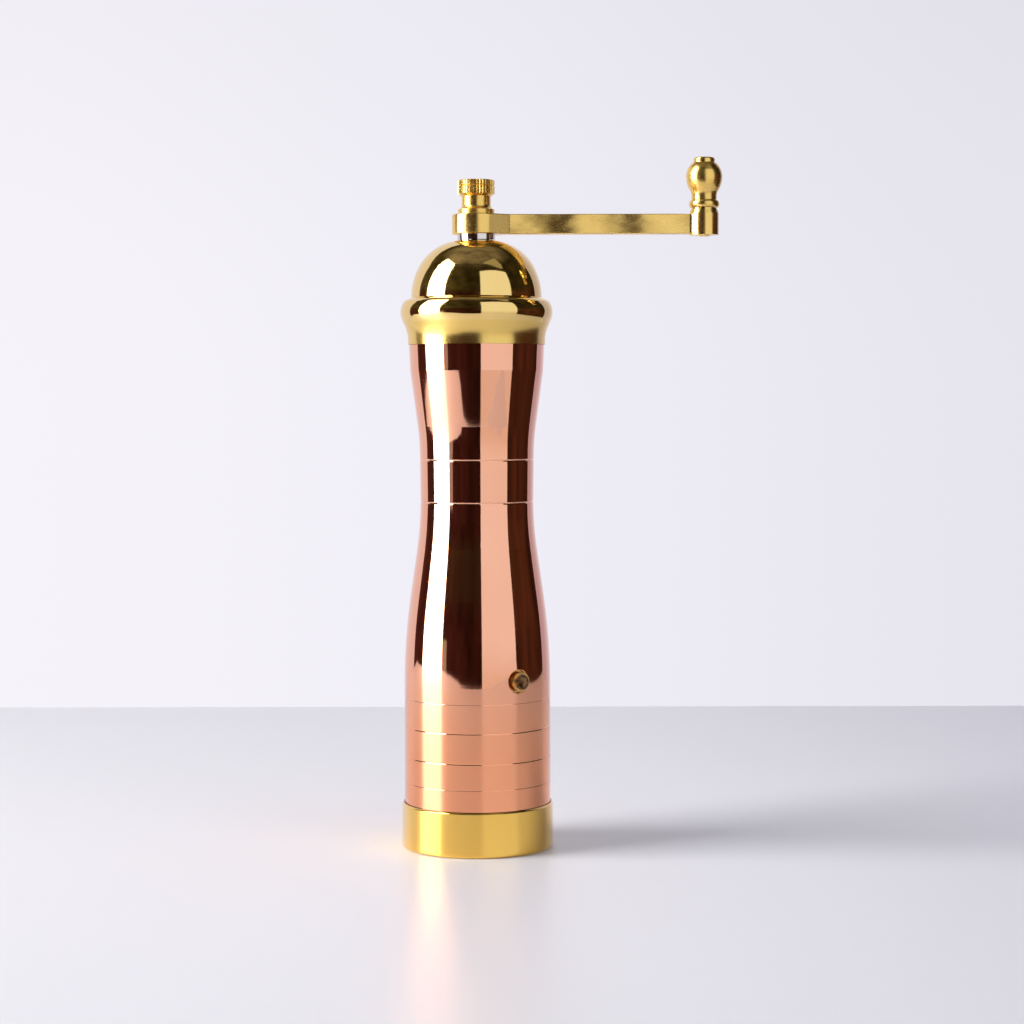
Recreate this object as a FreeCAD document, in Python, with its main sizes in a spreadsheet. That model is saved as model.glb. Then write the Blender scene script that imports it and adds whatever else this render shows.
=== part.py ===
"""Hand-cranked copper and brass coffee mill, nine inches tall.

The origin is the centre of the base cap's flat underside, +Z is up and the crank arm points along +X.
Every length is in millimetres. The copper body pushes into the base cap, the domed lid sits on the
body's mouth, and one steel shaft hangs from the knurled nut, through crank and lid, down to the burrs.
"""

import FreeCAD, Part
import math
import os
import Sketcher

DIMENSIONS = {
    # base cap: a turned cup
    "cap_radius": 25.4,
    "cap_height": 14.9,
    "cap_floor": 1.6,
    "cap_edge": 0.9,
    "cap_taper": 0.1,
    "cap_lip": 0.9,
    "cap_mouth_chamfer": 0.35,
    # fits
    "running_gap": 0.06,
    "seat_gap": 0.1,
    "socket_gap": 0.1,
    # copper body: straight, bulge, slope, waist, flare, rim
    "shell_radius": 24.29,
    "shell_wall": 1.3,
    "shell_bottom": 2.0,
    "shell_top": 166.9,
    "bulge_start": 54.6,
    "bulge_curve": 201.5,
    "lower_slope": 8.16,
    "lower_slope_length": 16.97,
    "lower_waist_curve": 107.5,
    "waist_length": 14.64,
    "waist_taper": 0.17,
    "upper_waist_curve": 76.05,
    "upper_slope": 7.62,
    "rim_start": 158.3,
    "rim_radius": 22.43,
    "mouth_radius": 20.98,
    "bore_top": 66.5,
    # turned lines in the copper
    "waist_line_low": 115.0,
    "waist_line_high": 129.0,
    "waist_line_depth": 0.15,
    "waist_line_width": 0.7,
    "band_line_low": 30.6,
    "band_line_high": 40.5,
    "band_line_depth": 0.12,
    "band_line_width": 0.5,
    "fine_line_low": 22.0,
    "fine_line_high": 50.0,
    "fine_line_depth": 0.05,
    "fine_line_width": 0.25,
    # side catch: a sprung button in a round hole
    "catch_angle": 34.6,
    "catch_height": 57.2,
    "catch_hole_radius": 4.0,
    "catch_bore_radius": 4.7,
    "catch_bore_floor": 16.5,
    "catch_flange_back": 21.4,
    "catch_flange_radius": 4.62,
    "catch_flange_height": 0.9,
    "catch_nose_radius": 3.2,
    "catch_nose_height": 4.2,
    "catch_step_radius": 2.8,
    "catch_step_height": 4.6,
    "catch_tip_radius": 2.45,
    "catch_tip_height": 5.0,
    "catch_dish_radius": 1.7,
    "catch_dish_depth": 0.3,
    "catch_wire_radius": 0.2,
    "catch_coil_radius": 2.6,
    "catch_coil_turns": 2.25,
    # burr housing and fixed burr
    "housing_bottom": 50.0,
    "housing_height": 16.0,
    "housing_radius": 22.88,
    "housing_mouth_chamfer": 1.5,
    "ring_bottom": 48.0,
    "ring_radius": 15.3,
    "ring_height": 14.0,
    "ring_flange_radius": 20.3,
    "ring_flange_height": 2.0,
    "ring_foot_radius": 12.8,
    "ring_throat_radius": 11.9,
    "ring_throat_height": 4.5,
    "ring_mouth_radius": 14.4,
    "ring_tooth_count": 24.0,
    "ring_tooth_depth": 0.8,
    "ring_screw_circle": 18.0,
    "ring_screw_count": 3.0,
    # machine screws
    "screw_radius": 1.5,
    "screw_head_radius": 2.4,
    "screw_head_height": 1.8,
    "screw_slot_width": 0.7,
    "screw_slot_depth": 0.8,
    "screw_length": 8.0,
    # bearing bridge
    "bridge_half_length": 20.6,
    "bridge_width": 7.0,
    "bridge_thickness": 3.0,
    "bridge_hub_radius": 6.6,
    "bridge_hub_height": 6.0,
    "bridge_screw_offset": 18.3,
    "bridge_screw_count": 2.0,
    "bush_radius": 4.7,
    # shaft and rotor
    "shaft_bottom": 41.0,
    "shaft_radius": 3.5,
    "shaft_square": 5.0,
    "thread_radius": 2.5,
    "thread_chamfer": 0.45,
    "lower_thread_length": 6.0,
    "rotor_height": 11.0,
    "upper_square_start": 202.0,
    "upper_square_length": 6.8,
    "shaft_top": 217.5,
    "rotor_foot_radius": 12.5,
    "rotor_foot_height": 1.0,
    "rotor_shoulder_radius": 11.4,
    "rotor_shoulder_height": 5.5,
    "rotor_top_radius": 6.4,
    "rotor_tooth_count": 12.0,
    "rotor_groove_side": 1.6,
    "rotor_groove_reach": 3.5,
    "rotor_groove_low": -1.4,
    "rotor_groove_high": 3.2,
    "rotor_tooth_lean": 24.0,
    "washer_radius": 6.2,
    "washer_thickness": 1.0,
    "rotor_nut_width": 8.0,
    "rotor_nut_height": 3.5,
    # grind spring
    "spring_wire_radius": 0.5,
    "spring_coil_radius": 4.9,
    "spring_turns": 4.5,
    # domed lid: skirt, cove, bead, dome
    "lid_bottom": 167.0,
    "skirt_radius": 22.7,
    "skirt_height": 1.25,
    "cove_curve": 12.5,
    "bead_low_radius": 24.3,
    "bead_low_height": 7.35,
    "bead_curve": 6.55,
    "bead_high_radius": 24.35,
    "bead_high_height": 13.95,
    "bead_shoulder_curve": 2.65,
    "bead_shoulder_radius": 22.7,
    "bead_shoulder_height": 14.95,
    "dome_base_height": 15.5,
    "dome_radius": 21.65,
    "dome_shoulder_curve": 16.6,
    "dome_shoulder_angle": 28.0,
    "dome_wall": 1.4,
    "lid_bore_height": 9.0,
    "lid_ring_radius": 20.9,
    "lid_ring_wall": 1.2,
    "lid_ring_drop": 7.0,
    "lid_ring_height": 14.0,
    "lid_bush_radius": 4.4,
    "lid_bush_flange_radius": 6.6,
    "lid_bush_flange_height": 1.2,
    "lid_bush_flange_drop": 0.2,
    "lid_bush_height": 5.5,
    # thrust collar, crank and knob
    "collar_radius": 6.25,
    "collar_bore": 3.8,
    "crank_bottom": 203.4,
    "crank_height": 6.55,
    "hub_radius": 8.0,
    "arm_length": 75.32,
    "arm_half_width": 2.5,
    "arm_root_end": 10.9,
    "boss_fillet": 1.6,
    "boss_radius": 4.82,
    "boss_height": 8.1,
    "boss_drop": 0.3,
    "boss_tip_height": 1.3,
    "boss_tip_radius": 4.4,
    "crank_edge": 0.35,
    "pin_radius": 2.0,
    "pin_tail": 0.75,
    "pin_head_radius": 3.5,
    "pin_head_bottom": 226.95,
    "pin_head_height": 1.65,
    "pin_edge": 0.7,
    "knob_washer_thickness": 0.45,
    "knob_washer_radius": 4.2,
    "knob_bottom": 212.15,
    "knob_bead_radius": 4.65,
    "knob_bead_curve": 1.9,
    "knob_bead_height": 2.2,
    "knob_neck_radius": 4.14,
    "knob_neck_start": 2.5,
    "knob_neck_end": 3.75,
    "knob_sweep_curve": 3.63,
    "knob_sweep_radius": 4.68,
    "knob_sweep_height": 5.65,
    "knob_belly_curve": 8.59,
    "knob_ball_radius": 5.95,
    "knob_ball_height": 10.15,
    "knob_crown_curve": 5.97,
    "knob_top_radius": 3.9,
    "knob_height": 14.65,
    # adjusting nut
    "nut_foot_radius": 6.0,
    "nut_foot_height": 1.6,
    "nut_flare_curve": 1.5,
    "nut_neck_radius": 4.78,
    "nut_neck_start": 3.0,
    "nut_neck_end": 5.95,
    "nut_head_bottom": 6.6,
    "nut_head_radius": 6.05,
    "nut_height": 11.25,
    "nut_edge": 0.2,
    "nut_ring_height": 9.45,
    "nut_ring_width": 0.5,
    "nut_ring_depth": 0.3,
    "nut_knurl_count": 40.0,
    "nut_knurl_depth": 0.28,
    "nut_bore_depth": 9.55,
}

RUN_OUT = 60.0
NODES = []
document = FreeCAD.newDocument("coffee_mill")
sheet = document.addObject("Spreadsheet::Sheet", "dims")


class Size:
    """A number together with the sheet formula that it comes from."""

    def __init__(self, value, formula):
        self.value = value
        self.formula = formula

    def joined(self, sign, other, value):
        return Size(value, "({} {} {})".format(self.formula, sign, as_size(other).formula))

    def __add__(self, other):
        return self.joined("+", other, self.value + as_size(other).value)

    def __sub__(self, other):
        return self.joined("-", other, self.value - as_size(other).value)

    def __mul__(self, other):
        return self.joined("*", other, self.value * as_size(other).value)

    def __truediv__(self, other):
        return self.joined("/", other, self.value / as_size(other).value)

    def __neg__(self):
        return Size(-self.value, "(0 - {})".format(self.formula))


class Dimensions:
    """Reads the sheet's cells by name."""

    def __getattr__(self, name):
        return Size(DIMENSIONS[name], "dims.{}".format(name))


def as_size(value):
    """A plain number counts as a formula of its own."""
    return value if isinstance(value, Size) else Size(float(value), repr(float(value)))


def sine(angle):
    return Size(math.sin(math.radians(angle.value)), "sin({})".format(angle.formula))


def cosine(angle):
    return Size(math.cos(math.radians(angle.value)), "cos({})".format(angle.formula))


def fill_sheet():
    """One row for each driving dimension: its name, then its value under that alias."""
    for row, (name, value) in enumerate(DIMENSIONS.items(), start=1):
        sheet.set("A{}".format(row), name)
        sheet.set("B{}".format(row), str(value))
        sheet.setAlias("B{}".format(row), name)
    document.recompute()


def new_body(label):
    body = document.addObject("PartDesign::Body", label)
    body.Label = label
    NODES.append(body)
    return body


def place(body, x=0.0, z=0.0):
    """Stands a body at x, z, both driven by the sheet."""
    spot = FreeCAD.Vector(as_size(x).value, 0, as_size(z).value)
    body.Placement = FreeCAD.Placement(spot, FreeCAD.Rotation())
    body.setExpression(".Placement.Base.x", as_size(x).formula)
    body.setExpression(".Placement.Base.z", as_size(z).formula)


def place_on_catch_axis(body, distance):
    """Turns a body's Z axis outwards along the side catch, at a distance from the mill's axis."""
    turn = FreeCAD.Rotation(FreeCAD.Vector(0, 0, 1), d.catch_angle.value)
    tip = FreeCAD.Rotation(FreeCAD.Vector(1, 0, 0), 90)
    body.Placement = FreeCAD.Placement(FreeCAD.Vector(0, 0, 0), turn * tip)
    body.setExpression(".Placement.Base.x", (distance * sine(d.catch_angle)).formula)
    body.setExpression(".Placement.Base.y", (-(distance * cosine(d.catch_angle))).formula)
    body.setExpression(".Placement.Base.z", d.catch_height.formula)


def new_sketch(body, name, role="XZ_Plane", lift=0.0, turn=None):
    """A sketch on one of the body's own planes, moved along its normal, or turned about an axis."""
    sketch = body.newObject("Sketcher::SketchObject", body.Label + "_" + name)
    plane = [feature for feature in body.Origin.OriginFeatures if feature.Role == role][0]
    sketch.AttachmentSupport = [(plane, "")]
    sketch.MapMode = "FlatFace"
    rotation = turn if turn else FreeCAD.Rotation()
    sketch.AttachmentOffset = FreeCAD.Placement(FreeCAD.Vector(0, 0, as_size(lift).value), rotation)
    sketch.setExpression(".AttachmentOffset.Base.z", as_size(lift).formula)
    return sketch


def bind(sketch, kind, first, size):
    """A driving constraint whose value comes from the sheet."""
    index = sketch.addConstraint(Sketcher.Constraint(kind, *first, size.value))
    sketch.setExpression("Constraints[{}]".format(index), size.formula)


def pin_point(sketch, edge, end, x, y):
    """Fixes one end of an edge by its distances from the sketch's origin."""
    for kind, axis, size in (("DistanceX", -2, as_size(x)), ("DistanceY", -1, as_size(y))):
        if abs(size.value) < 1e-9:
            sketch.addConstraint(Sketcher.Constraint("PointOnObject", edge, end, axis))
        else:
            bind(sketch, kind, (-1, 1, edge, end), size)


def arc_between(start, finish, radius):
    """The short arc between two points: its centre lies to the left of the way for a positive radius."""
    way = finish - start
    middle = (start + finish) * 0.5
    left = FreeCAD.Vector(-way.y, way.x, 0).normalize()
    reach = math.sqrt(radius * radius - way.Length * way.Length / 4)
    centre = middle + left * math.copysign(reach, radius)
    first, last = (start, finish) if radius > 0 else (finish, start)
    first_angle = math.atan2(first.y - centre.y, first.x - centre.x)
    last_angle = math.atan2(last.y - centre.y, last.x - centre.x)
    if last_angle < first_angle:
        last_angle += 2 * math.pi
    circle = Part.Circle(centre, FreeCAD.Vector(0, 0, 1), abs(radius))
    return Part.ArcOfCircle(circle, first_angle, last_angle)


def outline(sketch, corners):
    """A closed loop through the corners. A third value is the radius of the edge that leaves the corner."""
    spots = [FreeCAD.Vector(as_size(corner[0]).value, as_size(corner[1]).value, 0) for corner in corners]
    edges = []
    for index, corner in enumerate(corners):
        start = spots[index]
        finish = spots[(index + 1) % len(corners)]
        if len(corner) == 3:
            radius = as_size(corner[2])
            edge = sketch.addGeometry(arc_between(start, finish, radius.value), False)
            edges.append((edge, 1, 2) if radius.value > 0 else (edge, 2, 1))
            size = radius if radius.value > 0 else -radius
            bind(sketch, "Radius", (edge,), size)
        else:
            edge = sketch.addGeometry(Part.LineSegment(start, finish), False)
            edges.append((edge, 1, 2))
    for index, (edge, start_end, finish_end) in enumerate(edges):
        after, after_start, after_finish = edges[(index + 1) % len(edges)]
        sketch.addConstraint(Sketcher.Constraint("Coincident", edge, finish_end, after, after_start))
        pin_point(sketch, edge, start_end, corners[index][0], corners[index][1])


def circle(sketch, x, y, radius):
    centre = FreeCAD.Vector(as_size(x).value, as_size(y).value, 0)
    edge = sketch.addGeometry(Part.Circle(centre, FreeCAD.Vector(0, 0, 1), as_size(radius).value), False)
    pin_point(sketch, edge, 3, x, y)
    bind(sketch, "Radius", (edge,), as_size(radius))


def box(sketch, left, bottom, right, top):
    outline(sketch, [(left, bottom), (right, bottom), (right, top), (left, top)])


def revolve(body, sketch, cut=False):
    """Turns a sketch about the body's Z axis, as metal or as a cut."""
    kind = "PartDesign::Groove" if cut else "PartDesign::Revolution"
    feature = body.newObject(kind, sketch.Label + ("_groove" if cut else "_turned"))
    feature.Profile = sketch
    feature.ReferenceAxis = (sketch, ["V_Axis"])
    feature.Angle = 360
    document.recompute()
    return feature


def turned(label, corners):
    """A body turned on a lathe from one closed section."""
    body = new_body(label)
    sketch = new_sketch(body, "section")
    outline(sketch, corners)
    revolve(body, sketch)
    return body


def tube(label, bore, radius, length):
    return turned(label, [(bore, 0), (radius, 0), (radius, length), (bore, length)])


def extrude(body, sketch, length, cut=False, reverse=False, both_ways=False):
    kind = "PartDesign::Pocket" if cut else "PartDesign::Pad"
    feature = body.newObject(kind, sketch.Label + ("_cut" if cut else "_pad"))
    feature.Profile = sketch
    feature.Length = as_size(length).value
    feature.setExpression("Length", as_size(length).formula)
    feature.Reversed = reverse
    if both_ways:
        feature.Midplane = True
    before = body.Shape.Volume if cut else 0.0
    document.recompute()
    if cut and not body.Shape.Volume < before - 1e-6:
        raise RuntimeError("{} cuts nothing".format(feature.Label))
    return feature


def ring_of(body, feature, count):
    """Repeats a feature round the body's Z axis."""
    pattern = body.newObject("PartDesign::PolarPattern", feature.Label + "_ring")
    pattern.Originals = [feature]
    axis = [item for item in body.Origin.OriginFeatures if item.Role == "Z_Axis"][0]
    pattern.Axis = (axis, [""])
    pattern.Angle = 360
    pattern.Occurrences = int(count.value)
    pattern.setExpression("Occurrences", count.formula)
    body.Tip = pattern
    document.recompute()
    return pattern


def coil(label, coil_radius, wire_radius, length, turns):
    """A round-wire compression spring that stands on its lower end."""
    body = new_body(label)
    sketch = new_sketch(body, "wire")
    circle(sketch, coil_radius, wire_radius, wire_radius)
    spring = body.newObject("PartDesign::AdditiveHelix", label + "_coil")
    spring.Profile = sketch
    spring.ReferenceAxis = (sketch, ["V_Axis"])
    spring.Mode = "height-turns-angle"
    rise = length - wire_radius * 2
    spring.Height = rise.value
    spring.setExpression("Height", rise.formula)
    spring.Turns = turns.value
    spring.setExpression("Turns", turns.formula)
    document.recompute()
    return body


def catch_sketch(body, name, distance):
    """A sketch square to the side catch's axis, at a distance from the mill's axis."""
    sketch = new_sketch(body, name, turn=FreeCAD.Rotation(FreeCAD.Vector(0, 1, 0), d.catch_angle.value))
    sketch.setExpression(".AttachmentOffset.Base.x", (distance * sine(d.catch_angle)).formula)
    sketch.setExpression(".AttachmentOffset.Base.z", (distance * cosine(d.catch_angle)).formula)
    return sketch


def base_cap():
    mouth = d.shell_radius + d.running_gap
    top = d.cap_radius - d.cap_taper
    return turned("base_cap", [
        (0, 0),
        (d.cap_radius - d.cap_edge, 0, d.cap_edge),
        (d.cap_radius, d.cap_edge),
        (top, d.cap_height - d.cap_lip / 2, d.cap_lip),
        (top - d.cap_lip / 2, d.cap_height),
        (mouth + d.cap_mouth_chamfer, d.cap_height),
        (mouth, d.cap_height - d.cap_mouth_chamfer),
        (mouth, d.cap_floor),
        (0, d.cap_floor),
    ])


def body_shell():
    """The copper tube: a straight foot, a long bulge into a waist, and a flare up to the mouth."""
    slope_top_z = d.bulge_start + d.bulge_curve * sine(d.lower_slope)
    slope_top_r = d.shell_radius - d.bulge_curve * (as_size(1) - cosine(d.lower_slope))
    fall = d.lower_slope_length * sine(d.lower_slope)
    run = d.lower_slope_length * cosine(d.lower_slope)
    low_z = slope_top_z + run
    low_r = slope_top_r - fall
    waist_z = low_z + d.lower_waist_curve * sine(d.lower_slope)
    waist_r = low_r - d.lower_waist_curve * (as_size(1) - cosine(d.lower_slope))
    flare_z = waist_z + d.waist_length
    high_z = flare_z + d.upper_waist_curve * sine(d.upper_slope)
    flare_r = waist_r + d.waist_taper
    high_r = flare_r + d.upper_waist_curve * (as_size(1) - cosine(d.upper_slope))
    rim_r = high_r + (d.rim_start - high_z) * sine(d.upper_slope) / cosine(d.upper_slope)
    bore = d.shell_radius - d.shell_wall
    body = turned("body_shell", [
        (bore, d.shell_bottom),
        (d.shell_radius, d.shell_bottom),
        (d.shell_radius, d.bulge_start, d.bulge_curve),
        (slope_top_r, slope_top_z),
        (low_r, low_z, -d.lower_waist_curve),
        (waist_r, waist_z),
        (flare_r, flare_z, -d.upper_waist_curve),
        (high_r, high_z),
        (rim_r, d.rim_start),
        (d.rim_radius, d.shell_top),
        (d.mouth_radius, d.shell_top),
        (d.mouth_radius, d.rim_start),
        (high_r - d.shell_wall, high_z, d.upper_waist_curve + d.shell_wall),
        (flare_r - d.shell_wall, flare_z),
        (waist_r - d.shell_wall, waist_z, d.lower_waist_curve + d.shell_wall),
        (low_r - d.shell_wall, low_z),
        (slope_top_r - d.shell_wall, slope_top_z),
        (bore, d.bore_top),
    ])
    high_line_r = waist_r + d.waist_taper * (d.waist_line_high - waist_z) / d.waist_length
    lines = new_sketch(body, "lines")
    cuts = (
        (d.shell_radius, d.fine_line_low, d.fine_line_depth, d.fine_line_width),
        (d.shell_radius, d.band_line_low, d.band_line_depth, d.band_line_width),
        (d.shell_radius, d.band_line_high, d.band_line_depth, d.band_line_width),
        (d.shell_radius, d.fine_line_high, d.fine_line_depth, d.fine_line_width),
        (waist_r, d.waist_line_low, d.waist_line_depth, d.waist_line_width),
        (high_line_r, d.waist_line_high, d.waist_line_depth, d.waist_line_width),
    )
    for radius, height, depth, width in cuts:
        outline(lines, [
            (radius + depth, height - width),
            (radius + depth, height + width),
            (radius - depth, height),
        ])
    revolve(body, lines, cut=True)
    hole = catch_sketch(body, "catch_hole", as_size(0))
    circle(hole, 0, d.catch_height, d.catch_hole_radius)
    extrude(body, hole, RUN_OUT, cut=True, reverse=True)
    return body


def catch_button():
    body = turned("catch_button", [
        (0, 0),
        (d.catch_flange_radius, 0),
        (d.catch_flange_radius, d.catch_flange_height),
        (d.catch_nose_radius, d.catch_flange_height),
        (d.catch_nose_radius, d.catch_nose_height),
        (d.catch_step_radius, d.catch_nose_height),
        (d.catch_step_radius, d.catch_step_height),
        (d.catch_tip_radius, d.catch_step_height),
        (d.catch_tip_radius, d.catch_tip_height),
        (d.catch_dish_radius, d.catch_tip_height),
        (0, d.catch_tip_height - d.catch_dish_depth),
    ])
    place_on_catch_axis(body, d.catch_flange_back)
    return body


def catch_spring():
    length = d.catch_flange_back - d.catch_bore_floor
    body = coil("catch_spring", d.catch_coil_radius, d.catch_wire_radius, length, d.catch_coil_turns)
    place_on_catch_axis(body, d.catch_bore_floor)
    return body


def burr_housing():
    body = turned("burr_housing", [
        (d.ring_radius, 0),
        (d.housing_radius, 0),
        (d.housing_radius, d.housing_height),
        (d.ring_radius + d.housing_mouth_chamfer, d.housing_height),
        (d.ring_radius, d.housing_height - d.housing_mouth_chamfer),
    ])
    place(body, 0, d.housing_bottom)
    bore = catch_sketch(body, "catch_bore", d.catch_bore_floor)
    circle(bore, 0, d.catch_height - d.housing_bottom, d.catch_bore_radius)
    extrude(body, bore, RUN_OUT, cut=True, reverse=True)
    top = new_sketch(body, "bridge_holes", "XY_Plane", lift=d.housing_height)
    for side in (-1, 1):
        circle(top, d.bridge_screw_offset * side, 0, d.screw_radius)
    extrude(body, top, d.screw_length, cut=True)
    under = new_sketch(body, "ring_hole", "XY_Plane")
    circle(under, 0, d.ring_screw_circle, d.screw_radius)
    hole = extrude(body, under, d.screw_length - d.ring_flange_height, cut=True, reverse=True)
    ring_of(body, hole, d.ring_screw_count)
    return body


def ring_burr():
    """The fixed burr: a toothed throat in a flanged ring."""
    body = turned("ring_burr", [
        (d.ring_foot_radius, 0),
        (d.ring_flange_radius, 0),
        (d.ring_flange_radius, d.ring_flange_height),
        (d.ring_radius, d.ring_flange_height),
        (d.ring_radius, d.ring_height),
        (d.ring_mouth_radius, d.ring_height),
        (d.ring_throat_radius, d.ring_throat_height),
    ])
    place(body, 0, d.ring_bottom)
    under = new_sketch(body, "screw_hole", "XY_Plane")
    circle(under, 0, d.ring_screw_circle, d.screw_radius)
    hole = extrude(body, under, d.ring_flange_height * 2, cut=True, both_ways=True)
    ring_of(body, hole, d.ring_screw_count)
    teeth = new_sketch(body, "tooth", "XY_Plane")
    outline(teeth, [
        (0, -d.ring_tooth_depth),
        (d.ring_foot_radius + d.ring_tooth_depth, 0),
        (0, d.ring_tooth_depth),
    ])
    tooth = extrude(body, teeth, d.ring_height, cut=True, reverse=True)
    ring_of(body, tooth, d.ring_tooth_count)
    return body


def screws(label, x, y, count, head_down, height):
    """A ring of equal cheese-head screws in one node: the first stands at x, y on a seat at the height."""
    body = new_body(label)
    body.AllowCompound = True
    place(body, 0, height)
    shank = new_sketch(body, "shank", "XY_Plane")
    circle(shank, x, y, d.screw_radius)
    shanks = extrude(body, shank, d.screw_length, reverse=not head_down)
    seat = new_sketch(body, "head", "XY_Plane")
    circle(seat, x, y, d.screw_head_radius)
    heads = extrude(body, seat, d.screw_head_height, reverse=head_down)
    top = -d.screw_head_height if head_down else d.screw_head_height
    slot = new_sketch(body, "slot", "XY_Plane", lift=top)
    reach = d.screw_head_radius * 2
    half = d.screw_slot_width / 2
    box(slot, as_size(x) - reach, as_size(y) - half, as_size(x) + reach, as_size(y) + half)
    slots = extrude(body, slot, d.screw_slot_depth, cut=True, reverse=head_down)
    pattern = ring_of(body, shanks, count)
    pattern.Originals = [shanks, heads, slots]
    document.recompute()
    return body


def bearing_bridge():
    body = new_body("bearing_bridge")
    place(body, 0, d.housing_bottom + d.housing_height)
    bar = new_sketch(body, "bar", "XY_Plane")
    box(bar, -d.bridge_half_length, -(d.bridge_width / 2), d.bridge_half_length, d.bridge_width / 2)
    extrude(body, bar, d.bridge_thickness)
    hub = new_sketch(body, "hub", "XY_Plane")
    circle(hub, 0, 0, d.bridge_hub_radius)
    extrude(body, hub, d.bridge_hub_height)
    holes = new_sketch(body, "holes", "XY_Plane")
    circle(holes, 0, 0, d.bush_radius)
    for side in (-1, 1):
        circle(holes, d.bridge_screw_offset * side, 0, d.screw_radius)
    extrude(body, holes, RUN_OUT, cut=True, both_ways=True)
    return body


def shaft_bush():
    body = tube("shaft_bush", d.shaft_radius + d.running_gap, d.bush_radius, d.bridge_hub_height)
    place(body, 0, d.housing_bottom + d.housing_height)
    return body


def flats(body, name, start, length):
    """Squares a stretch of the round shaft."""
    half = d.shaft_square / 2
    sketch = new_sketch(body, name, "XY_Plane", lift=start)
    circle(sketch, 0, 0, d.shaft_radius * 2)
    box(sketch, -half, -half, half, half)
    extrude(body, sketch, length, cut=True, reverse=True)


def drive_shaft():
    """A round steel bar, threaded at both ends, with a square for the rotor and a square for the crank."""
    rotor_start = d.lower_thread_length
    upper_start = d.upper_square_start - d.shaft_bottom
    upper_end = upper_start + d.upper_square_length
    length = d.shaft_top - d.shaft_bottom
    body = turned("drive_shaft", [
        (0, 0),
        (d.thread_radius - d.thread_chamfer, 0),
        (d.thread_radius, d.thread_chamfer),
        (d.thread_radius, rotor_start),
        (d.shaft_radius, rotor_start),
        (d.shaft_radius, upper_end),
        (d.thread_radius, upper_end),
        (d.thread_radius, length - d.thread_chamfer),
        (d.thread_radius - d.thread_chamfer, length),
        (0, length),
    ])
    place(body, 0, d.shaft_bottom)
    flats(body, "rotor_square", rotor_start, d.rotor_height)
    flats(body, "crank_square", upper_start, d.upper_square_length)
    return body


def rotor_bottom():
    return d.shaft_bottom + d.lower_thread_length


def rotor_burr():
    """The turning burr: a cone, wide at its foot, with leaning grooves."""
    body = turned("rotor_burr", [
        (0, 0),
        (d.rotor_foot_radius, 0),
        (d.rotor_foot_radius, d.rotor_foot_height),
        (d.rotor_shoulder_radius, d.rotor_shoulder_height),
        (d.rotor_top_radius, d.rotor_height),
        (0, d.rotor_height),
    ])
    place(body, 0, rotor_bottom())
    lean = FreeCAD.Rotation(FreeCAD.Vector(1, 0, 0), d.rotor_tooth_lean.value)
    groove = new_sketch(body, "groove", "XY_Plane", turn=lean)
    outside = d.rotor_foot_radius + d.rotor_groove_side
    outline(groove, [
        (d.rotor_foot_radius - d.rotor_groove_reach, d.rotor_groove_side),
        (outside, d.rotor_groove_low),
        (outside, d.rotor_groove_high),
    ])
    cut = extrude(body, groove, RUN_OUT, cut=True, both_ways=True)
    ring_of(body, cut, d.rotor_tooth_count)
    half = d.shaft_square / 2
    square = new_sketch(body, "square", "XY_Plane")
    box(square, -half, -half, half, half)
    extrude(body, square, RUN_OUT, cut=True, both_ways=True)
    return body


def rotor_nut():
    body = new_body("rotor_nut")
    place(body, 0, rotor_bottom() - d.washer_thickness - d.rotor_nut_height)
    corner = d.rotor_nut_width / 2 / cosine(as_size(30))
    section = new_sketch(body, "hexagon", "XY_Plane")
    outline(section, [
        (corner * cosine(as_size(turn)), corner * sine(as_size(turn))) for turn in range(0, 360, 60)
    ])
    circle(section, 0, 0, d.thread_radius)
    extrude(body, section, d.rotor_nut_height)
    return body


def rotor_washer():
    body = tube("rotor_washer", d.thread_radius, d.washer_radius, d.washer_thickness)
    place(body, 0, rotor_bottom() - d.washer_thickness)
    return body


def spring_seat():
    body = tube("spring_seat", d.shaft_radius + d.running_gap, d.washer_radius, d.washer_thickness)
    place(body, 0, rotor_bottom() + d.rotor_height + d.seat_gap)
    return body


def grind_spring():
    seat_top = rotor_bottom() + d.rotor_height + d.seat_gap + d.washer_thickness
    length = d.housing_bottom + d.housing_height - seat_top
    body = coil("grind_spring", d.spring_coil_radius, d.spring_wire_radius, length, d.spring_turns)
    place(body, 0, seat_top)
    return body


def dome_lid():
    """Skirt, cove, bead and dome, hollow inside, with a hole for the bush in the crown."""
    shoulder_x = (d.dome_radius - d.dome_shoulder_curve) * cosine(d.dome_shoulder_angle)
    shoulder_z = (d.dome_radius - d.dome_shoulder_curve) * sine(d.dome_shoulder_angle)
    crown = d.dome_base_height + shoulder_z + d.dome_shoulder_curve
    inner_radius = d.dome_radius - d.dome_wall
    inner_curve = d.dome_shoulder_curve - d.dome_wall
    outer_x = d.dome_radius * cosine(d.dome_shoulder_angle)
    outer_z = d.dome_base_height + d.dome_radius * sine(d.dome_shoulder_angle)
    inner_x = inner_radius * cosine(d.dome_shoulder_angle)
    inner_z = d.dome_base_height + inner_radius * sine(d.dome_shoulder_angle)
    body = turned("dome_lid", [
        (d.lid_ring_radius, 0),
        (d.skirt_radius, 0),
        (d.skirt_radius, d.skirt_height, -d.cove_curve),
        (d.bead_low_radius, d.bead_low_height, d.bead_curve),
        (d.bead_high_radius, d.bead_high_height, d.bead_shoulder_curve),
        (d.bead_shoulder_radius, d.bead_shoulder_height),
        (d.dome_radius, d.dome_base_height, d.dome_radius),
        (outer_x, outer_z, d.dome_shoulder_curve),
        (shoulder_x, crown),
        (d.lid_bush_radius, crown),
        (d.lid_bush_radius, crown - d.dome_wall),
        (shoulder_x, crown - d.dome_wall, -inner_curve),
        (inner_x, inner_z, -inner_radius),
        (inner_radius, d.dome_base_height),
        (inner_radius, d.lid_bore_height),
        (d.lid_ring_radius, d.lid_bore_height),
    ])
    place(body, 0, d.lid_bottom)
    return body


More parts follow.
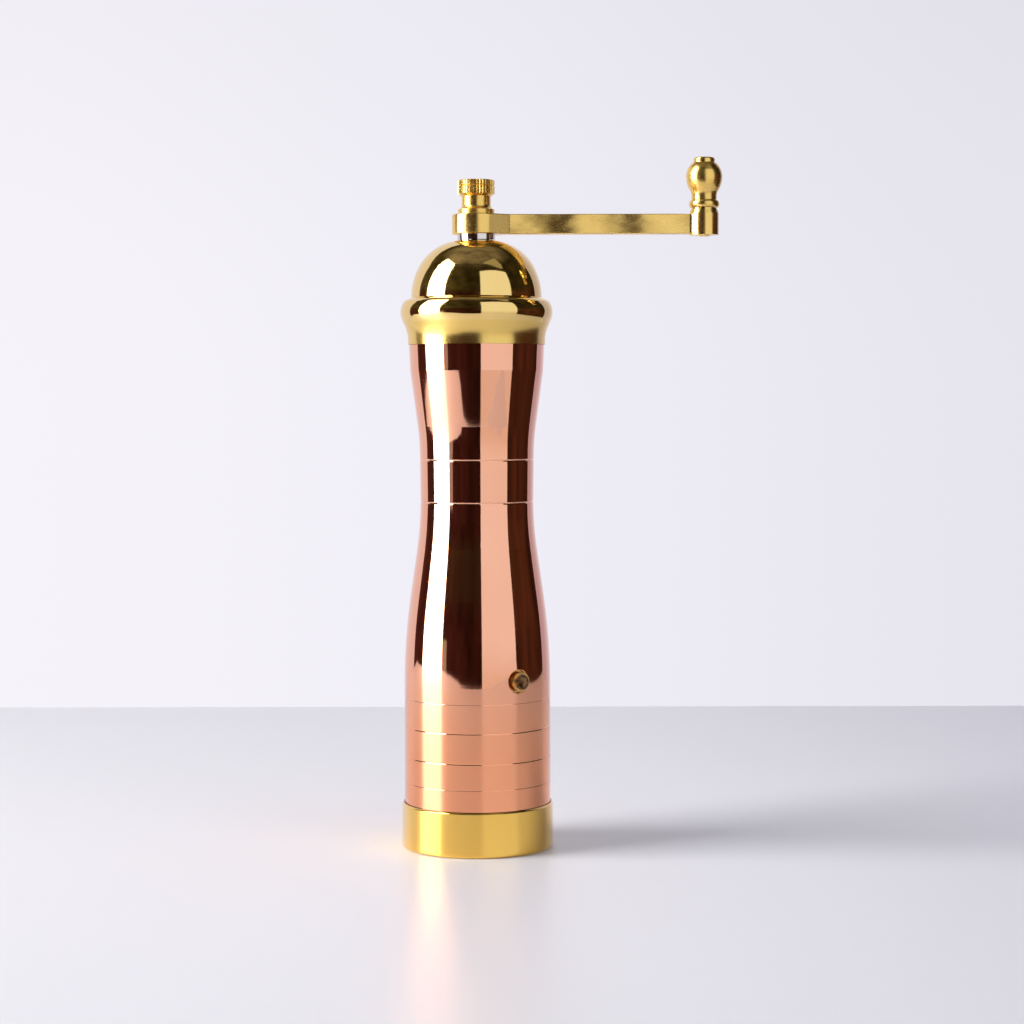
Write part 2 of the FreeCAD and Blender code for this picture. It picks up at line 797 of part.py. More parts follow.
def lid_crown():
    """Height of the flat on top of the dome."""
    rise = (d.dome_radius - d.dome_shoulder_curve) * sine(d.dome_shoulder_angle)
    return d.lid_bottom + d.dome_base_height + rise + d.dome_shoulder_curve


def lid_ring():
    body = tube("lid_ring", d.lid_ring_radius - d.lid_ring_wall, d.lid_ring_radius, d.lid_ring_height)
    place(body, 0, d.lid_bottom - d.lid_ring_drop)
    return body


def lid_bush():
    """A flanged bush, pressed up into the crown from inside."""
    bore = d.shaft_radius + d.running_gap
    flange_top = d.lid_bush_height - d.dome_wall - d.lid_bush_flange_drop
    body = turned("lid_bush", [
        (bore, 0),
        (d.lid_bush_radius, 0),
        (d.lid_bush_radius, flange_top - d.lid_bush_flange_height),
        (d.lid_bush_flange_radius, flange_top - d.lid_bush_flange_height),
        (d.lid_bush_flange_radius, flange_top),
        (d.lid_bush_radius, flange_top),
        (d.lid_bush_radius, d.lid_bush_height),
        (bore, d.lid_bush_height),
    ])
    place(body, 0, lid_crown() - d.lid_bush_height)
    return body


def thrust_collar():
    start = lid_crown() + d.seat_gap
    body = tube("thrust_collar", d.collar_bore, d.collar_radius, d.crank_bottom - start)
    place(body, 0, start)
    return body


def taper_angle():
    """The way, seen from the hub's axis, to the point where the arm's straight taper touches the hub."""
    lean = d.arm_half_width / d.arm_root_end
    reach = math.hypot(d.arm_root_end.value, d.arm_half_width.value)
    square = d.arm_root_end * d.arm_root_end + d.arm_half_width * d.arm_half_width
    spread = d.hub_radius / Size(reach, "sqrt({})".format(square.formula))
    angle = math.degrees(math.atan(lean.value) + math.acos(spread.value))
    return Size(angle, "(atan({}) + acos({}))".format(lean.formula, spread.formula))


def fillet_angle():
    """The way, seen from the boss's axis, to the point where the arm's root fillet leaves the boss."""
    across = (d.arm_half_width + d.boss_fillet) / (d.boss_radius + d.boss_fillet)
    return Size(math.degrees(math.asin(across.value)), "asin({})".format(across.formula))


def crank_arm():
    """A flat arm: a round hub with a tapered root, and an upright boss with a filleted root."""
    hub_angle = taper_angle()
    boss_angle = fillet_angle()
    hub_x = d.hub_radius * cosine(hub_angle)
    hub_y = d.hub_radius * sine(hub_angle)
    boss_x = d.arm_length - d.boss_radius * cosine(boss_angle)
    boss_y = d.boss_radius * sine(boss_angle)
    arm_end = d.arm_length - (d.boss_radius + d.boss_fillet) * cosine(boss_angle)
    end = d.arm_length + d.boss_radius
    body = new_body("crank_arm")
    place(body, 0, d.crank_bottom)
    plan = new_sketch(body, "plan", "XY_Plane")
    outline(plan, [
        (-d.hub_radius, 0, d.hub_radius),
        (0, -d.hub_radius, d.hub_radius),
        (hub_x, -hub_y),
        (d.arm_root_end, -d.arm_half_width),
        (arm_end, -d.arm_half_width, -d.boss_fillet),
        (boss_x, -boss_y, d.boss_radius),
        (d.arm_length, -d.boss_radius, d.boss_radius),
        (end, 0, d.boss_radius),
        (d.arm_length, d.boss_radius, d.boss_radius),
        (boss_x, boss_y, -d.boss_fillet),
        (arm_end, d.arm_half_width),
        (d.arm_root_end, d.arm_half_width),
        (hub_x, hub_y, d.hub_radius),
        (0, d.hub_radius, d.hub_radius),
    ])
    flat = extrude(body, plan, d.crank_height)
    edge = body.newObject("PartDesign::Fillet", "crank_edge")
    rims = ["Edge{}".format(number) for number, item in enumerate(flat.Shape.Edges, start=1)
            if abs(item.BoundBox.ZMax - item.BoundBox.ZMin) < 1e-6]
    edge.Base = (flat, rims)
    edge.Radius = d.crank_edge.value
    edge.setExpression("Radius", d.crank_edge.formula)
    document.recompute()
    shoulder = d.boss_height - d.boss_tip_height
    boss = new_sketch(body, "boss", "XY_Plane", lift=-d.boss_drop)
    circle(boss, d.arm_length, 0, d.boss_radius)
    extrude(body, boss, shoulder + d.boss_drop)
    tip = new_sketch(body, "boss_tip", "XY_Plane", lift=shoulder)
    circle(tip, d.arm_length, 0, d.boss_radius)
    cone = extrude(body, tip, d.boss_tip_height)
    fall = (d.boss_radius - d.boss_tip_radius) / d.boss_tip_height
    cone.TaperAngle = -math.degrees(math.atan(fall.value))
    cone.setExpression("TaperAngle", "-atan({})".format(fall.formula))
    holes = new_sketch(body, "holes", "XY_Plane")
    half = d.shaft_square / 2 + d.socket_gap
    box(holes, -half, -half, half, half)
    circle(holes, d.arm_length, 0, d.pin_radius)
    extrude(body, holes, RUN_OUT, cut=True, both_ways=True)
    return body


def knob_washer():
    body = tube("knob_washer", d.pin_radius, d.knob_washer_radius, d.knob_washer_thickness)
    place(body, d.arm_length, d.crank_bottom + d.boss_height)
    return body


def knob_pin():
    """The knob's axle: a tail under the boss, a plain shank and a rounded head."""
    start = d.crank_bottom - d.pin_tail
    head = d.pin_head_bottom - start
    body = turned("knob_pin", [
        (0, 0),
        (d.pin_radius - d.pin_edge, 0, d.pin_edge),
        (d.pin_radius, d.pin_edge),
        (d.pin_radius, head),
        (d.pin_head_radius, head),
        (d.pin_head_radius, head + d.pin_head_height - d.pin_edge, d.pin_edge),
        (d.pin_head_radius - d.pin_edge, head + d.pin_head_height),
        (0, head + d.pin_head_height),
    ])
    place(body, d.arm_length, start)
    return body


def handle_knob():
    """A turned grip: bead, waist, ball and crown, bored for its pin."""
    bore = d.pin_radius + d.running_gap
    body = turned("handle_knob", [
        (bore, 0),
        (d.knob_bead_radius, 0, d.knob_bead_curve),
        (d.knob_bead_radius, d.knob_bead_height),
        (d.knob_neck_radius, d.knob_neck_start),
        (d.knob_neck_radius, d.knob_neck_end, -d.knob_sweep_curve),
        (d.knob_sweep_radius, d.knob_sweep_height, d.knob_belly_curve),
        (d.knob_ball_radius, d.knob_ball_height, d.knob_crown_curve),
        (d.knob_top_radius, d.knob_height),
        (bore, d.knob_height),
    ])
    place(body, d.arm_length, d.knob_bottom)
    return body


def adjusting_nut():
    """A waisted nut: flared foot, neck and straight-knurled head with one turned ring."""
    ring_low = d.nut_ring_height - d.nut_ring_width / 2
    ring_high = d.nut_ring_height + d.nut_ring_width / 2
    ring_radius = d.nut_head_radius - d.nut_ring_depth
    bore = d.thread_radius + d.socket_gap
    body = turned("adjusting_nut", [
        (bore, 0),
        (d.nut_foot_radius, 0),
        (d.nut_foot_radius, d.nut_foot_height, -d.nut_flare_curve),
        (d.nut_neck_radius, d.nut_neck_start),
        (d.nut_neck_radius, d.nut_neck_end),
        (d.nut_head_radius - d.nut_edge, d.nut_head_bottom),
        (d.nut_head_radius, d.nut_head_bottom + d.nut_edge),
        (d.nut_head_radius, ring_low),
        (ring_radius, d.nut_ring_height),
        (d.nut_head_radius, ring_high),
        (d.nut_head_radius, d.nut_height - d.nut_edge),
        (d.nut_head_radius - d.nut_edge, d.nut_height),
        (0, d.nut_height),
        (0, d.nut_bore_depth),
        (bore, d.nut_bore_depth),
    ])
    place(body, 0, d.crank_bottom + d.crank_height)
    knurl = new_sketch(body, "knurl", "XY_Plane", lift=d.nut_neck_end)
    root = d.nut_head_radius - d.nut_knurl_depth
    outline(knurl, [
        (root, 0),
        (d.nut_head_radius + d.nut_knurl_depth, -(d.nut_knurl_depth * 2)),
        (d.nut_head_radius + d.nut_knurl_depth, d.nut_knurl_depth * 2),
    ])
    notch = extrude(body, knurl, RUN_OUT, cut=True, reverse=True)
    ring_of(body, notch, d.nut_knurl_count)
    return body


def check_and_write():
    """Refuses a failed object, then writes every sub-part under its own name."""
    for item in document.Objects:
        if "Invalid" in item.State or "Error" in item.State:
            raise RuntimeError("{} failed: {}".format(item.Label, item.State))
    os.makedirs("parts", exist_ok=True)
    for body in NODES:
        if body.Shape.isNull() or not body.Shape.isValid():
            raise RuntimeError("{} has no valid shape".format(body.Label))
    for body in NODES:
        body.Shape.exportStep(os.path.join("parts", body.Label + ".step"))
        print("{:18s} {:9.1f} mm3, {} solid(s)".format(body.Label, body.Shape.Volume, len(body.Shape.Solids)))


d = Dimensions()
fill_sheet()
base_cap()
body_shell()
catch_button()
catch_spring()
burr_housing()
ring_burr()
screws("ring_burr_screws", 0, d.ring_screw_circle, d.ring_screw_count, True, d.ring_bottom)
bearing_bridge()
screws("bridge_screws", d.bridge_screw_offset, 0, d.bridge_screw_count, False,
       d.housing_bottom + d.housing_height + d.bridge_thickness)
shaft_bush()
drive_shaft()
rotor_burr()
rotor_washer()
rotor_nut()
spring_seat()
grind_spring()
dome_lid()
lid_ring()
lid_bush()
thrust_collar()
crank_arm()
knob_washer()
knob_pin()
handle_knob()
adjusting_nut()
document.recompute()
check_and_write()
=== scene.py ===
"""Looks for the copper and brass hand coffee mill: materials, a pale table and a studio of glowing boards."""
import math

import bmesh
import bpy
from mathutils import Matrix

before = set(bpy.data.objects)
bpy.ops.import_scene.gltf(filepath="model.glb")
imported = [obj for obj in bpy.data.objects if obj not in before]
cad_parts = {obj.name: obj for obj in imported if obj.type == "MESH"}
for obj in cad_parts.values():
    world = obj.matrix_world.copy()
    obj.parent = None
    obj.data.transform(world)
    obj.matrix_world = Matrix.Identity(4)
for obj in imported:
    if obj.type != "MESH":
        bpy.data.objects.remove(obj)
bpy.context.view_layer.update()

# ---------------------------------------------------------------- materials

# Noise scales, in cycles per metre along each axis.
STAINS = (60.0, 60.0, 25.0)
SMUDGES = (130.0, 130.0, 90.0)
FLECKS = (1100.0, 1100.0, 1100.0)
HAMMERING = (60.0, 60.0, 160.0)
TURNED = (90.0, 90.0, 9000.0)
FILED = (500.0, 6000.0, 6000.0)
PITTED = (900.0, 900.0, 900.0)

# The part of a noise's range that most of it falls in, and how far smudges change the roughness.
NOISE_LOW, NOISE_HIGH = 0.3, 0.7
SMUDGE_LOW, SMUDGE_HIGH = 0.85, 1.25

# Lengths in metres.
SHARP = 0.00005
WAVE_FADE = 0.001
ARM_LEFT = 0.0115
ARM_RIGHT = 0.0700
WAVE_START = 0.0153
WAVE_LENGTH = 0.0236
WAVE_DEPTH = 5.5e-4
COVE_TOP = 0.1752
COVE_FADE = 0.0015
CAP_MOUTH = 0.02478
CAP_TOP = 0.0140
CATCH_FACE = 0.02603

# A slope, an angle in radians, a direction in plan and the colour of the painted shade in a joint.
FACE_TILT = 0.05
WAVE_DRIFT = 3.0
CATCH_DIRECTION = (0.5678, -0.8231)
JOINT_SHADE = (0.03, 0.012, 0.006)


def node_material(name):
    """A material with an empty tree, its Principled shader and its output."""
    material = bpy.data.materials.new(name)
    material.use_nodes = True
    nodes = material.node_tree.nodes
    nodes.clear()
    output = nodes.new("ShaderNodeOutputMaterial")
    shader = nodes.new("ShaderNodeBsdfPrincipled")
    material.node_tree.links.new(shader.outputs["BSDF"], output.inputs["Surface"])
    return material, nodes, material.node_tree.links, shader


def position(nodes, links, scale):
    """Object coordinates in metres, stretched by a scale on each axis."""
    place = nodes.new("ShaderNodeTexCoord")
    mapping = nodes.new("ShaderNodeMapping")
    mapping.inputs["Scale"].default_value = scale
    links.new(place.outputs["Object"], mapping.inputs["Vector"])
    return mapping.outputs["Vector"]


def noise(nodes, links, scale, detail, rough=0.55):
    """A noise texture on object coordinates."""
    texture = nodes.new("ShaderNodeTexNoise")
    texture.inputs["Scale"].default_value = 1.0
    texture.inputs["Detail"].default_value = detail
    texture.inputs["Roughness"].default_value = rough
    links.new(position(nodes, links, scale), texture.inputs["Vector"])
    return texture.outputs["Fac"]


def spread(nodes, links, value, low, high):
    """Maps the useful middle of a noise to a range."""
    ramp = nodes.new("ShaderNodeMapRange")
    ramp.inputs["From Min"].default_value = NOISE_LOW
    ramp.inputs["From Max"].default_value = NOISE_HIGH
    ramp.inputs["To Min"].default_value = low
    ramp.inputs["To Max"].default_value = high
    links.new(value, ramp.inputs["Value"])
    return ramp.outputs["Result"]


def blend_colours(nodes, links, factor, first, second):
    """Mixes two colours, each a plain colour or another node's output."""
    mix = nodes.new("ShaderNodeMix")
    mix.data_type = "RGBA"
    links.new(factor, mix.inputs["Factor"])
    for socket, colour in (("A", first), ("B", second)):
        if isinstance(colour, tuple):
            mix.inputs[socket].default_value = (*colour, 1.0)
        else:
            links.new(colour, mix.inputs[socket])
    return mix.outputs["Result"]


def between(nodes, links, value, start, finish, low, high):
    """A soft step from low to high while a value passes from start to finish."""
    step = nodes.new("ShaderNodeMapRange")
    step.interpolation_type = "SMOOTHSTEP"
    step.inputs["From Min"].default_value = start
    step.inputs["From Max"].default_value = finish
    step.inputs["To Min"].default_value = low
    step.inputs["To Max"].default_value = high
    links.new(value, step.inputs["Value"])
    return step.outputs["Result"]


def math_node(nodes, links, operation, first, second):
    """Two values joined by one operation. The second may be a plain number."""
    node = nodes.new("ShaderNodeMath")
    node.operation = operation
    links.new(first, node.inputs[0])
    if isinstance(second, float):
        node.inputs[1].default_value = second
    else:
        links.new(second, node.inputs[1])
    return node.outputs["Value"]


def coordinate(nodes, links, axis):
    """One object coordinate, in metres."""
    place = nodes.new("ShaderNodeTexCoord")
    split = nodes.new("ShaderNodeSeparateXYZ")
    links.new(place.outputs["Object"], split.inputs["Vector"])
    return split.outputs[axis]


def axis_distance(nodes, links):
    """Distance from the mill's axis, in metres."""
    across = coordinate(nodes, links, "X")
    along = coordinate(nodes, links, "Y")
    square = math_node(nodes, links, "ADD", math_node(nodes, links, "MULTIPLY", across, across),
                       math_node(nodes, links, "MULTIPLY", along, along))
    return math_node(nodes, links, "POWER", square, 0.5)


def shaded_mottled_end(nodes, links, colour, turn, distance, light, dark):
    """Painted shade with worn flecks of old patina on the end face of a round piece that points out from the
    mill's axis.
    """
    across = math_node(nodes, links, "MULTIPLY", coordinate(nodes, links, "X"), turn[0])
    along = math_node(nodes, links, "MULTIPLY", coordinate(nodes, links, "Y"), turn[1])
    outward = math_node(nodes, links, "ADD", across, along)
    end = between(nodes, links, outward, distance, distance + SHARP, 0.0, 1.0)
    fleck = spread(nodes, links, noise(nodes, links, FLECKS, 3.0), 0.0, 1.0)
    return blend_colours(nodes, links, end, colour, blend_colours(nodes, links, fleck, dark, light))


def metal(name, light, dark, gloss, grain, grain_depth, wave=False, satin=None, seam=None, face=None):
    """A worked metal. Tone drifts in soft stains, gloss in smudges and tool marks, and the marks are raised.

    gloss: (low, high) roughness.
    wave: the crank's long flat has a slow hammered unevenness.
    satin: (height below, height above, added roughness, colour) of a rougher lower part; on the copper its
    colour is painted shade.
    seam: (radius, height) of a dark line of painted shade inside a mouth, where a joint's gap lies.
    face: (direction in plan, distance, light, dark) of a dark mottled end, painted shade with flecks of
    patina, for what lies beyond the distance.
    """
    material, nodes, links, shader = node_material(name)
    tone = spread(nodes, links, noise(nodes, links, STAINS, 4.0), 0.0, 1.0)
    colour = blend_colours(nodes, links, tone, light, dark)
    marks = noise(nodes, links, grain, 2.0)
    smudge = spread(nodes, links, noise(nodes, links, SMUDGES, 5.0, 0.6), SMUDGE_LOW, SMUDGE_HIGH)
    rough = math_node(nodes, links, "MULTIPLY", spread(nodes, links, marks, *gloss), smudge)
    if satin:
        low, high, added, satin_and_shade_colour = satin
        dull_and_shaded = between(nodes, links, coordinate(nodes, links, "Z"), low, high, 1.0, 0.0)
        rough = math_node(nodes, links, "ADD", rough, math_node(nodes, links, "MULTIPLY", dull_and_shaded, added))
        # The lower colour is a real satin tone on the lid's cove and painted shade on the copper.
        colour = blend_colours(nodes, links, dull_and_shaded, colour, satin_and_shade_colour)
    if seam:
        radius, height = seam
        # Painted shade: the inside of a mouth, above a height, is darkened where the gap to the next part
        # lies.
        inside = between(nodes, links, axis_distance(nodes, links), radius - SHARP, radius + SHARP, 1.0, 0.0)
        above = between(nodes, links, coordinate(nodes, links, "Z"), height - 2 * SHARP, height, 0.0, 1.0)
        joint_shade = math_node(nodes, links, "MULTIPLY", inside, above)
        colour = blend_colours(nodes, links, joint_shade, colour, JOINT_SHADE)
    if face:
        colour = shaded_mottled_end(nodes, links, colour, *face)
    links.new(colour, shader.inputs["Base Color"])
    links.new(rough, shader.inputs["Roughness"])
    shader.inputs["Metallic"].default_value = 1.0
    fine = nodes.new("ShaderNodeBump")
    fine.inputs["Strength"].default_value = 1.0
    fine.inputs["Distance"].default_value = grain_depth
    links.new(marks, fine.inputs["Height"])
    if wave:
        slow = nodes.new("ShaderNodeBump")
        slow.inputs["Distance"].default_value = WAVE_DEPTH
        along = coordinate(nodes, links, "X")
        left = between(nodes, links, along, ARM_LEFT - WAVE_FADE, ARM_LEFT, 0.0, 1.0)
        right = between(nodes, links, along, ARM_RIGHT, ARM_RIGHT + WAVE_FADE, 1.0, 0.0)
        links.new(math_node(nodes, links, "MULTIPLY", left, right), slow.inputs["Strength"])
        unrest = math_node(nodes, links, "SUBTRACT", noise(nodes, links, HAMMERING, 2.0, 0.5), 0.5)
        drift = math_node(nodes, links, "MULTIPLY", unrest, WAVE_DRIFT)
        turn = math_node(nodes, links, "MULTIPLY", math_node(nodes, links, "SUBTRACT", along, WAVE_START),
                         2.0 * math.pi / WAVE_LENGTH)
        swing = math_node(nodes, links, "SINE", math_node(nodes, links, "ADD", turn, drift), 0.0)
        ripple = math_node(nodes, links, "MULTIPLY", swing, -0.5)
        slope = math_node(nodes, links, "MULTIPLY", along, -FACE_TILT / WAVE_DEPTH)
        links.new(math_node(nodes, links, "ADD", ripple, slope), slow.inputs["Height"])
        links.new(slow.outputs["Normal"], fine.inputs["Normal"])
    links.new(fine.outputs["Normal"], shader.inputs["Normal"])
    return material


# Below 30 to 72 mm the copper turns rougher and a darker, redder copper: the colour is painted shade,
# standing for the shaded table it reflects.
copper = metal("polished_copper", (0.96, 0.49, 0.33), (0.94, 0.46, 0.29), (0.035, 0.06), TURNED, 1.5e-7,
               satin=(0.030, 0.072, 0.02, (0.96, 0.405, 0.215)))
lid_brass = metal("lid_brass", (0.93, 0.67, 0.27), (0.90, 0.62, 0.22), (0.05, 0.08), TURNED, 2e-7,
                  satin=(COVE_TOP - COVE_FADE, COVE_TOP, 0.15, (0.87, 0.59, 0.17)))
# A thin dark line inside the cap's mouth, where it meets the copper, is painted shade in the gap.
cap_brass = metal("cap_brass", (0.95, 0.60, 0.095), (0.92, 0.55, 0.07), (0.07, 0.11), TURNED, 4e-7,
                  seam=(CAP_MOUTH, CAP_TOP))
cap_coat = cap_brass.node_tree.nodes["Principled BSDF"].inputs
cap_coat["Coat Weight"].default_value = 1.0
cap_coat["Coat Roughness"].default_value = 0.08
cap_coat["Coat IOR"].default_value = 1.6
satin_brass = metal("satin_brass", (0.91, 0.64, 0.20), (0.86, 0.58, 0.16), (0.14, 0.20), TURNED, 5e-7)
knob_brass = metal("knob_brass", (0.93, 0.64, 0.20), (0.88, 0.57, 0.15), (0.22, 0.27), TURNED, 5e-7)
nut_brass = metal("nut_brass", (0.93, 0.62, 0.18), (0.86, 0.54, 0.13), (0.24, 0.31), TURNED, 5e-7)
hand_brass = metal("hand_finished_brass", (0.94, 0.64, 0.21), (0.86, 0.56, 0.15), (0.20, 0.26),
                   FILED, 2e-7, wave=True)
# The catch's end face is painted near black with lighter flecks: painted shade of its recessed end, with
# flecks of patina.
catch_bronze = metal("catch_bronze", (0.86, 0.56, 0.22), (0.74, 0.45, 0.16), (0.16, 0.26), PITTED, 2e-5,
                     face=(CATCH_DIRECTION, CATCH_FACE, (0.34, 0.19, 0.08), (0.07, 0.030, 0.020)))
bearing_bronze = metal("bearing_bronze", (0.62, 0.40, 0.19), (0.40, 0.24, 0.11), (0.18, 0.34), TURNED, 1e-6)
steel = metal("polished_steel", (0.78, 0.78, 0.80), (0.70, 0.70, 0.72), (0.08, 0.16), TURNED, 5e-7)
collar_steel = metal("collar_steel", (0.80, 0.75, 0.70), (0.70, 0.64, 0.58), (0.08, 0.14), TURNED, 5e-7)
burr_steel = metal("hardened_steel", (0.34, 0.34, 0.36), (0.24, 0.23, 0.23), (0.28, 0.42), TURNED, 1e-6)

NODE_LOOKS = {
    "body_shell": copper,
    "dome_lid": lid_brass,
    "base_cap": cap_brass,
    "crank_arm": hand_brass,
    "adjusting_nut": nut_brass,
    "handle_knob": knob_brass,
    "knob_pin": knob_brass,
    "knob_washer": satin_brass,
    "catch_button": catch_bronze,
    "thrust_collar": collar_steel,
    "lid_ring": satin_brass,
    "lid_bush": bearing_bronze,
    "shaft_bush": bearing_bronze,
    "burr_housing": satin_brass,
    "ring_burr": burr_steel,
    "rotor_burr": burr_steel,
}

for node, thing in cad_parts.items():
    for slot in thing.material_slots:
        slot.material = NODE_LOOKS.get(node, steel)
    thing.data.materials[0] = NODE_LOOKS.get(node, steel)

# ---------------------------------------------------------------- studio


def stage_material(name, colour, roughness):
    """A surface of one colour and one gloss all over."""
    material, _, _, shader = node_material(name)
    shader.inputs["Base Color"].default_value = (*colour, 1.0)
    shader.inputs["Roughness"].default_value = roughness
    return material


def glow_material(name, colour, strength):
    """A surface that gives light of its own."""
    material = bpy.data.materials.new(name)
    material.use_nodes = True
    nodes = material.node_tree.nodes
    nodes.clear()
    output = nodes.new("ShaderNodeOutputMaterial")
    glow = nodes.new("ShaderNodeEmission")
    glow.inputs["Color"].default_value = (*colour, 1.0)
    glow.inputs["Strength"].default_value = strength
    material.node_tree.links.new(glow.outputs["Emission"], output.inputs["Surface"])
    return material


def room_material():
    """The unlit room round the table: dark brown walls, olive above them and a dim ceiling."""
    material = glow_material("room_dim", (1.0, 1.0, 1.0), 1.0)
    nodes = material.node_tree.nodes
    links = material.node_tree.links
    across = coordinate(nodes, links, "X")
    height = coordinate(nodes, links, "Z")
    walls = blend_colours(nodes, links, between(nodes, links, across, 0.6, 2.4, 0.0, 1.0),
                          (0.036, 0.0125, 0.010), (0.085, 0.035, 0.019))
    upper = blend_colours(nodes, links, between(nodes, links, height, 0.40, 0.95, 0.0, 1.0), walls,
                          (0.044, 0.036, 0.016))
    whole = blend_colours(nodes, links, between(nodes, links, height, 2.3, 2.9, 0.0, 1.0), upper,
                          (0.30, 0.27, 0.22))
    cloud = spread(nodes, links, noise(nodes, links, (1.1, 1.1, 1.4), 3.0), 0.5, 1.6)
    middle = between(nodes, links, across, -2.3, -0.3, 1.4, 0.6)
    blotch = math_node(nodes, links, "MULTIPLY", cloud, middle)
    glow = [node for node in nodes if node.type == "EMISSION"][0]
    links.new(whole, glow.inputs["Color"])
    links.new(blotch, glow.inputs["Strength"])
    return material


def stage_mesh(name, corners, faces, material, seen=False):
    """A fixed board of the studio. seen: whether the camera sees it."""
    mesh = bpy.data.meshes.new(name)
    mesh.from_pydata(corners, [], faces)
    mesh.materials.append(material)
    thing = bpy.data.objects.new(name, mesh)
    bpy.context.scene.collection.objects.link(thing)
    thing.visible_camera = seen
    return thing


def graded(material, axis, start, finish, first, second):
    """Lets a glow's colour pass from first to second along one of its object's own coordinates."""
    nodes = material.node_tree.nodes
    links = material.node_tree.links
    glow = [node for node in nodes if node.type == "EMISSION"][0]
    step = between(nodes, links, coordinate(nodes, links, axis), start, finish, 0.0, 1.0)
    links.new(blend_colours(nodes, links, step, first, second), glow.inputs["Color"])
    return material


def bearing(degrees, distance, height):
    """A point round the mill: 0 degrees is straight in front, positive to the right."""
    turn = math.radians(degrees)
    return (distance * math.sin(turn), -distance * math.cos(turn), height)


def board(name, left, right, low, high, material):
    """An upright board between two bearings, each (degrees, distance). high: left and right top heights."""
    corners = [bearing(*left, low), bearing(*right, low),
               bearing(*right, high[1]), bearing(*left, high[0])]
    return stage_mesh(name, corners, [(0, 1, 2, 3)], material)


TABLE_BACK = 0.346
TABLE_LEFT = -0.95
TABLE_RIGHT = 0.52
TABLE_FRONT = -0.502
BACKDROP_LEFT = -0.65
BACKDROP_RIGHT = 0.50
BACKDROP_TOP = 0.62
WINDOW_LEFT = -95
WINDOW_RIGHT = -57
WINDOW_FOOT = -0.5
WINDOW_TOPS = (1.75, 1.9)
WINDOW_DISTANCE = 1.2
FILL_DISTANCE = 1.18
CEILING = 2.19
ROOM_RADIUS = 3.0

table_corners = [(TABLE_LEFT, TABLE_BACK, 0), (TABLE_LEFT, -0.60, 0), (-0.749, -0.585, 0),
                 (-0.514, -0.613, 0), (-0.325, -0.563, 0), (-0.224, TABLE_FRONT, 0),
                 (TABLE_RIGHT, TABLE_FRONT, 0), (TABLE_RIGHT, TABLE_BACK, 0)]
table_look = stage_material("pale_table", (0.90, 0.885, 0.925), 0.40)
table_look.node_tree.nodes["Principled BSDF"].inputs["Specular IOR Level"].default_value = 0.80
stage_mesh("table_top", table_corners, [tuple(range(len(table_corners)))], table_look, seen=True)

backdrop_glow = graded(glow_material("backdrop_glow", (1.0, 1.0, 1.0), 0.9), "X", 0.0, 0.4,
                       (0.93, 0.91, 1.0), (0.56, 0.54, 0.72))
backdrop_corners = [(BACKDROP_LEFT, TABLE_BACK, 0), (BACKDROP_RIGHT, TABLE_BACK, 0),
                    (BACKDROP_RIGHT, TABLE_BACK, BACKDROP_TOP), (BACKDROP_LEFT, TABLE_BACK, BACKDROP_TOP)]
backdrop = stage_mesh("backdrop_board", backdrop_corners, [(0, 1, 2, 3)], backdrop_glow)
backdrop.visible_diffuse = False
window = board("window_board", (WINDOW_RIGHT, WINDOW_DISTANCE), (WINDOW_LEFT, WINDOW_DISTANCE),
               WINDOW_FOOT, WINDOW_TOPS, glow_material("window_glow", (1.0, 1.0, 1.0), 8.5))
window.visible_diffuse = False
window_fill = board("window_fill", (WINDOW_RIGHT, FILL_DISTANCE), (WINDOW_LEFT, FILL_DISTANCE),
                    WINDOW_FOOT, WINDOW_TOPS, glow_material("window_fill_glow", (1.0, 1.0, 1.0), 7.1))
window_fill.visible_glossy = False
window_fill.visible_shadow = False
board("window_reveal", (-49, 1.25), (-57.5, 1.21), -0.6, (0.12, 0.12),
      glow_material("reveal_glow", (1.0, 0.93, 0.88), 0.4))
panel_glow = graded(glow_material("panel_glow", (1.0, 1.0, 1.0), 1.0), "Z", -0.15, 0.15,
                    (0.79, 0.76, 0.72), (0.93, 0.97, 1.03))
board("panel_board", (8, 1.103), (64.5, 1.87), -0.6, (1.25, 1.62), panel_glow)
stage_mesh("ceiling_patch", [(0.25, -1.3, CEILING), (0.86, -0.31, CEILING), (2.05, -1.01, CEILING)],
           [(0, 1, 2)], glow_material("ceiling_glow", (1.0, 0.93, 0.75), 0.35))
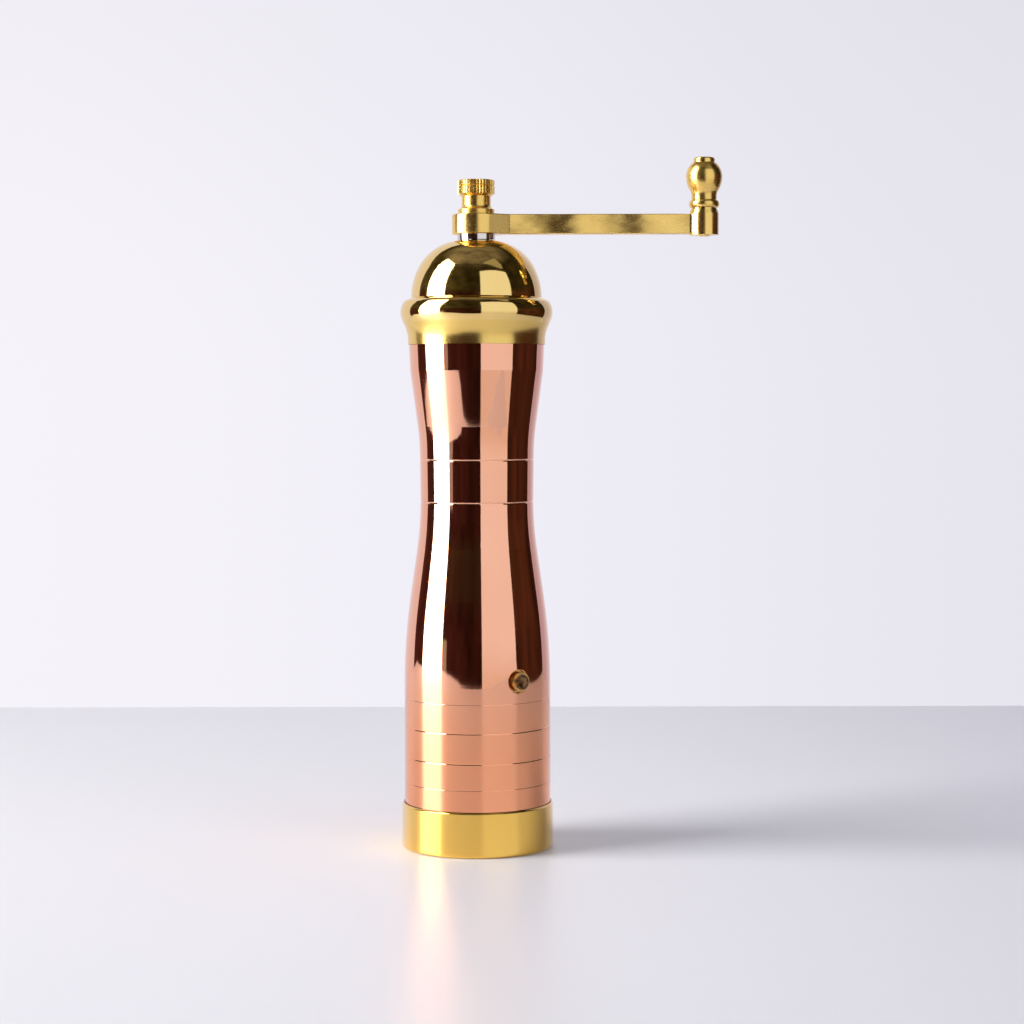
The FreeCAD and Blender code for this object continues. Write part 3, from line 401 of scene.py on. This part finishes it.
overhead = stage_mesh("overhead_fill", [(-0.6, -1, 2), (1.6, -1, 2), (1.6, 1, 2), (-0.6, 1, 2)],
                      [(0, 1, 2, 3)], glow_material("overhead_glow", (0.90, 0.94, 1.08), 0.85))
overhead.visible_glossy = False
overhead.visible_shadow = False

room_mesh = bpy.data.meshes.new("dark_room")
shape = bmesh.new()
bmesh.ops.create_uvsphere(shape, u_segments=32, v_segments=16, radius=ROOM_RADIUS)
shape.to_mesh(room_mesh)
shape.free()
room_mesh.materials.append(room_material())
room = bpy.data.objects.new("dark_room", room_mesh)
bpy.context.scene.collection.objects.link(room)
room.visible_camera = False

world = bpy.data.worlds.new("pale_backdrop")
world.use_nodes = True
sky = world.node_tree.nodes["Background"]
sky_nodes = world.node_tree.nodes
sky_links = world.node_tree.links
# Painted light and shade: the backdrop is lighter on the left, towards the window, and darker to the right
# and higher up.
sky_place = sky_nodes.new("ShaderNodeTexCoord")
sky_split = sky_nodes.new("ShaderNodeSeparateXYZ")
sky_links.new(sky_place.outputs["Generated"], sky_split.inputs["Vector"])
sky_side = between(sky_nodes, sky_links, sky_split.outputs["X"], -0.25, 0.30, 0.0, 1.0)
sky_rise = between(sky_nodes, sky_links, sky_split.outputs["Z"], 0.0, 0.28, 1.0, 0.93)
sky_links.new(blend_colours(sky_nodes, sky_links, sky_side, (0.925, 0.90, 0.96), (0.79, 0.78, 0.86)),
              sky.inputs["Color"])
sky_links.new(sky_rise, sky.inputs["Strength"])
bpy.context.scene.world = world
bpy.context.scene.view_settings.view_transform = "Standard"

# ---------------------------------------------------------------- camera

SENSOR_MM = 36.0
FOCAL_MM = 80.86
LOOK_DOWN_DEGREES = 2.788
ROLL = 0.0018

lens = bpy.data.cameras.new("camera")
lens.sensor_width = SENSOR_MM
lens.lens = FOCAL_MM
camera = bpy.data.objects.new("camera", lens)
bpy.context.scene.collection.objects.link(camera)
camera.location = (0.0117, -0.7644, 0.1487)
camera.rotation_euler = (math.radians(90.0 - LOOK_DOWN_DEGREES), ROLL, 0.0)
bpy.context.scene.camera = camera
